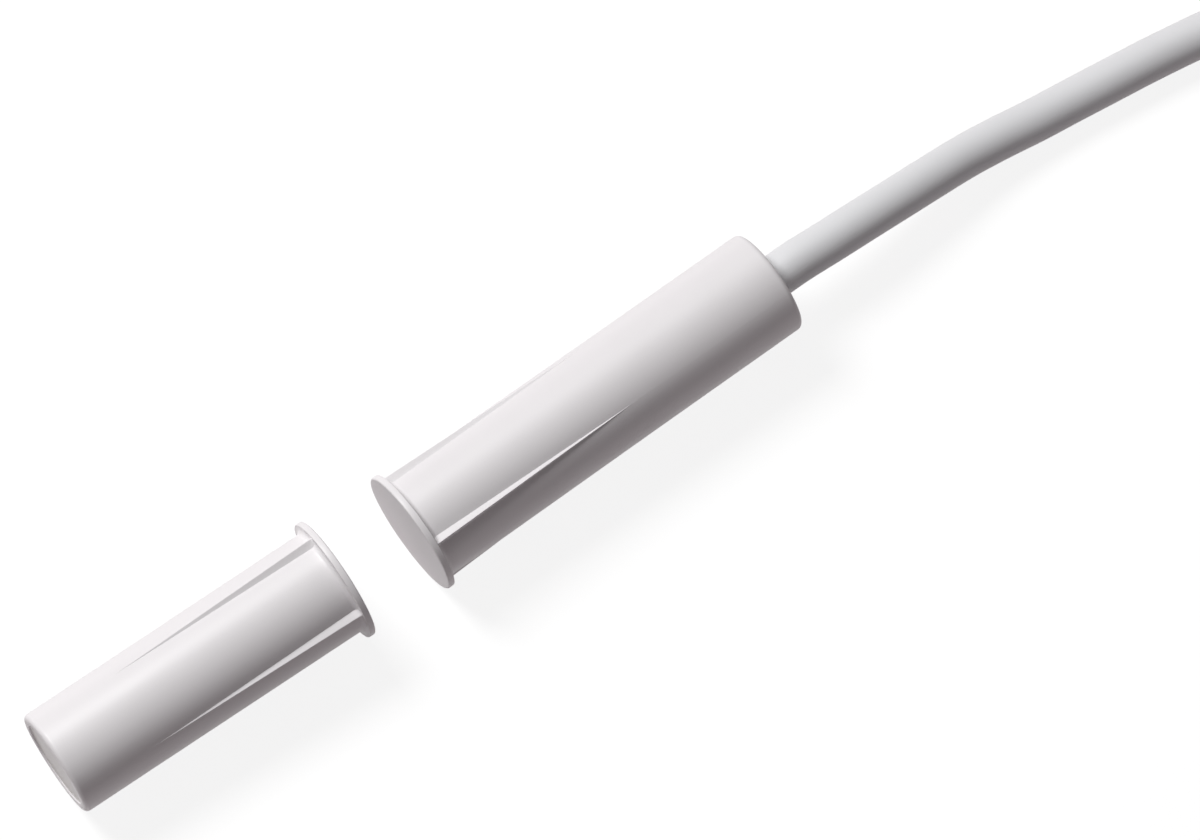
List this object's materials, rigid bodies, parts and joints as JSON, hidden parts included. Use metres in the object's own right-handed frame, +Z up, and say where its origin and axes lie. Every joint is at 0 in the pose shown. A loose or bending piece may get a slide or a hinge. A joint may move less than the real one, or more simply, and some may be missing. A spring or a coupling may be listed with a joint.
{
  "type": "recessed magnetic contact",
  "caption": "Press-in door or window contact: a slim flanged barrel with a sealed reed switch and a thin cored lead, and a shorter flanged barrel that holds its bar magnet.",
  "frame": {"origin": "Centre of the switch barrel's front face, the closed face that looks at the magnet", "axes": "+X runs back along the switch barrel's axis to its lead, +Z is up with both barrels lying on their sides, and +Y completes a right-handed frame. The magnet lies in front of the switch, towards -X"},
  "size_m": [0.1614, 0.0364, 0.0214],
  "materials": {
    "housing_white": "white moulded plastic with a soft gloss",
    "resin": "off-white cast resin, smooth",
    "carrier": "soft grey moulding, matt",
    "reed_glass": "pale green sealed glass",
    "reed_metal": "plated nickel-iron",
    "insulation_yellow": "yellow core insulation",
    "insulation_blue": "blue core insulation",
    "insulation_red": "red core insulation",
    "insulation_black": "black core insulation",
    "tinned_copper": "tinned copper strands",
    "solder": "dull solder",
    "heat_shrink": "black shrunk sleeve",
    "jacket_white": "white soft cable jacket",
    "magnet_metal": "cast and ground magnet alloy",
    "tie_white": "plastic-covered wire tie"
  },
  "bodies": {
    "root": {"switch_housing": "housing_white", "switch_resin": "resin", "reed_carrier": "carrier", "reed_glass": "reed_glass", "reed_blade_front": "reed_metal", "reed_blade_rear": "reed_metal", "core_yellow": "insulation_yellow", "core_blue": "insulation_blue", "core_red": "insulation_red", "core_black": "insulation_black", "wire_yellow": "tinned_copper", "wire_blue": "tinned_copper", "wire_red": "tinned_copper", "wire_black": "tinned_copper", "solder_front": "solder", "solder_rear": "solder", "solder_tamper": "solder", "shrink_front": "heat_shrink", "shrink_rear": "heat_shrink", "shrink_tamper": "heat_shrink", "lead_jacket": "jacket_white", "magnet_housing": "housing_white", "bar_magnet": "magnet_metal", "magnet_resin": "resin", "cable_run": "jacket_white", "cable_hank": "jacket_white", "hank_tie": "tie_white", "tail_yellow": "insulation_yellow", "tail_blue": "insulation_blue", "tail_red": "insulation_red", "tail_black": "insulation_black", "tip_yellow": "tinned_copper", "tip_blue": "tinned_copper", "tip_red": "tinned_copper", "tip_black": "tinned_copper"}
  },
  "joints": []
}
